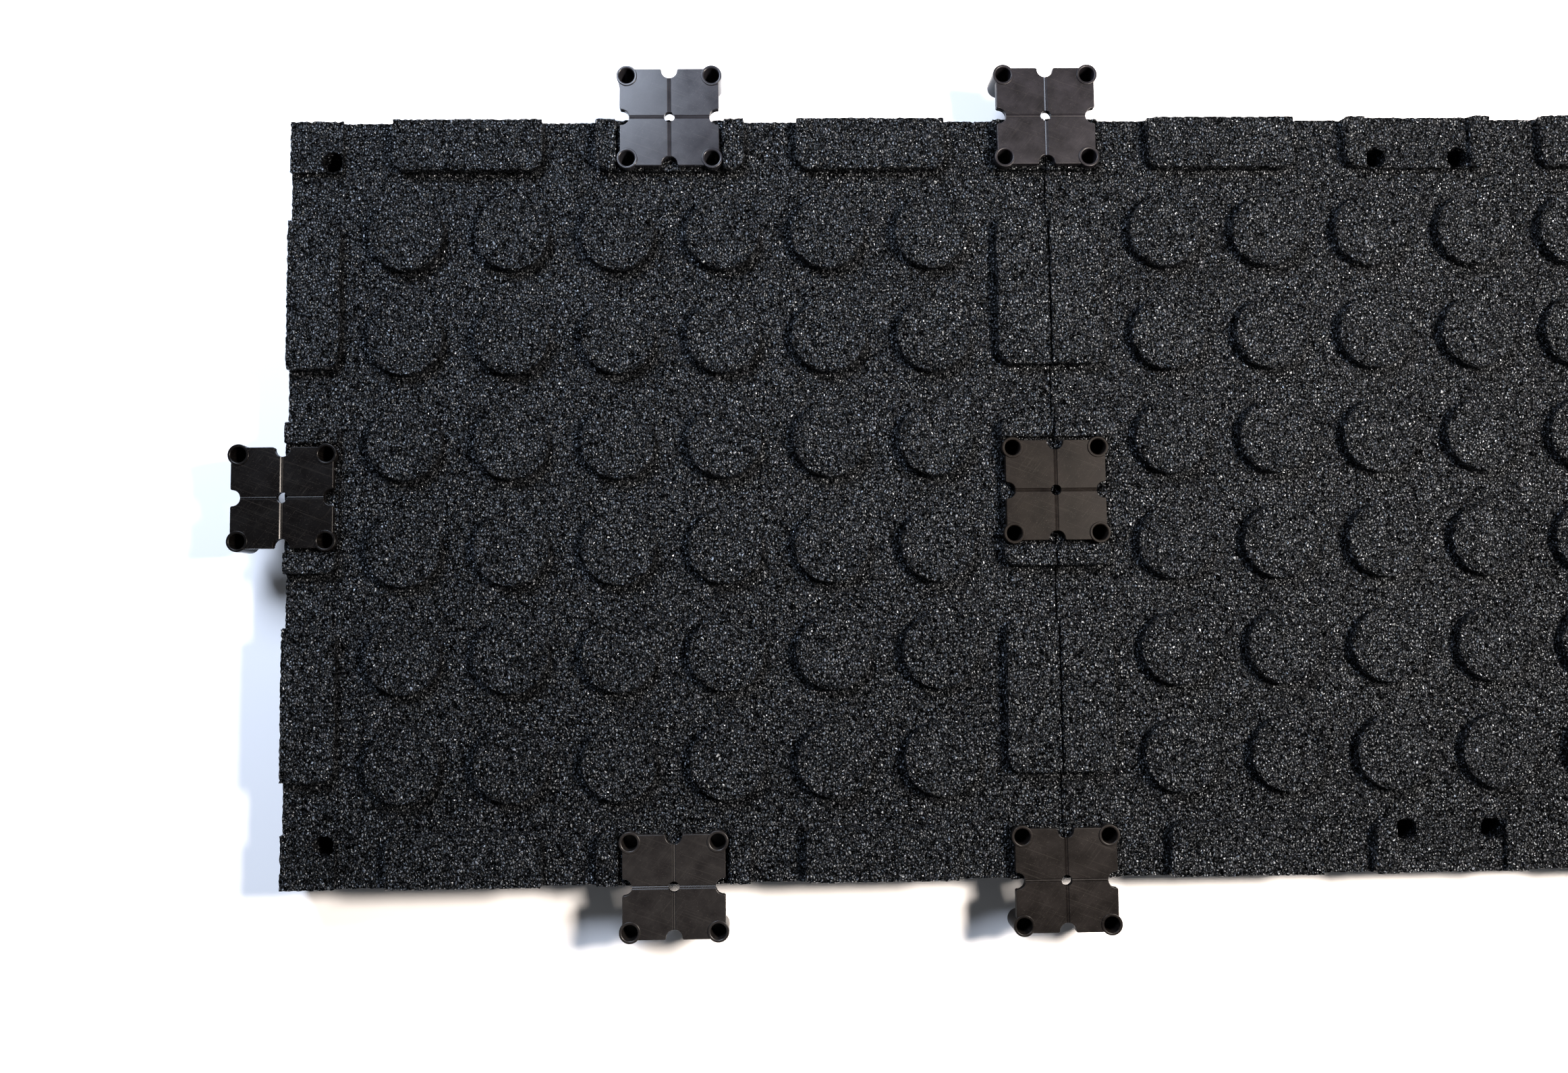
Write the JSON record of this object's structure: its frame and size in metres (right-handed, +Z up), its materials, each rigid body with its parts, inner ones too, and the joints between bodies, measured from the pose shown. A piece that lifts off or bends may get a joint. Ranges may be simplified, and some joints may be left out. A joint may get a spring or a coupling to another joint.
{
  "type": "interlocking rubber floor tile pair",
  "caption": "Square rubber-granulate tiles lying stud side up, butted on one edge and locked by four-peg moulded connector plates; empty sockets and overhanging plates take more tiles.",
  "frame": {"origin": "centre of the left tile's wear face, which lies on the ground", "axes": "+X from the left tile to the right tile across the seam, +Z up, out of the studded underside"},
  "size_m": [1.0356, 0.5702, 0.0456],
  "materials": {
    "rubber_granulate": "bonded crumb, open and matt with small glints",
    "connector_plastic": "satin, injection moulded, scuffed"
  },
  "bodies": {
    "left_tile": {"left_tile": "rubber_granulate"},
    "right_tile": {"right_tile": "rubber_granulate"},
    "connector_far_edge": {"connector_far_edge": "connector_plastic"},
    "connector_near_edge": {"connector_near_edge": "connector_plastic"},
    "connector_left_edge": {"connector_left_edge": "connector_plastic"},
    "connector_seam_far": {"connector_seam_far": "connector_plastic"},
    "connector_seam_centre": {"connector_seam_centre": "connector_plastic"},
    "connector_seam_near": {"connector_seam_near": "connector_plastic"}
  },
  "joints": [
    {"name": "right_tile_lift", "type": "slide", "parent": "left_tile", "child": "right_tile", "axis": [0, 0, 1], "range_m": [0, 0.03]},
    {"name": "far_edge_pull", "type": "slide", "parent": "left_tile", "child": "connector_far_edge", "axis": [0, 0, 1], "range_m": [0, 0.03]},
    {"name": "near_edge_pull", "type": "slide", "parent": "left_tile", "child": "connector_near_edge", "axis": [0, 0, 1], "range_m": [0, 0.03]},
    {"name": "left_edge_pull", "type": "slide", "parent": "left_tile", "child": "connector_left_edge", "axis": [0, 0, 1], "range_m": [0, 0.03]},
    {"name": "seam_far_pull", "type": "slide", "parent": "right_tile", "child": "connector_seam_far", "axis": [0, 0, 1], "range_m": [0, 0.03]},
    {"name": "seam_centre_pull", "type": "slide", "parent": "right_tile", "child": "connector_seam_centre", "axis": [0, 0, 1], "range_m": [0, 0.03]},
    {"name": "seam_near_pull", "type": "slide", "parent": "right_tile", "child": "connector_seam_near", "axis": [0, 0, 1], "range_m": [0, 0.03]}
  ]
}
